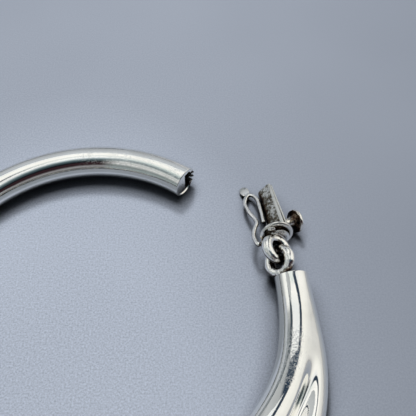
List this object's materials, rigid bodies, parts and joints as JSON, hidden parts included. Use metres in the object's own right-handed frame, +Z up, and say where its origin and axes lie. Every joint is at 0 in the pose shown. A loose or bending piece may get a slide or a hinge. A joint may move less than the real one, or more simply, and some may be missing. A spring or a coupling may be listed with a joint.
{
  "type": "link bracelet",
  "caption": "Polished silver bracelet of two rigid curved links joined by interlocked rings, lying open, with a slotted end, a folded spring tongue, a push button and a hinged wire catch.",
  "frame": {"origin": "on the surface that the bracelet lies on, under the middle of its box", "axes": "+Z up, +Y from the broad link towards the plain link and its slotted end, +X towards the clasp's side"},
  "size_m": [0.0736, 0.0809, 0.0098],
  "materials": {
    "silver": "polished, finely scratched",
    "worn_silver": "dull, tarnished in the recesses"
  },
  "bodies": {
    "bracelet": {"back_link": "silver", "front_link": "silver", "guard_plate": "worn_silver", "tongue": "worn_silver", "push_button": "worn_silver"},
    "catch": {"safety_catch": "silver"}
  },
  "joints": [
    {"name": "catch_hinge", "type": "hinge", "parent": "bracelet", "child": "catch", "pos_m": [0.03011, 0.01762, 0.00418], "axis": [0.989, 0.1478, 0], "range_deg": [0, 110]}
  ]
}
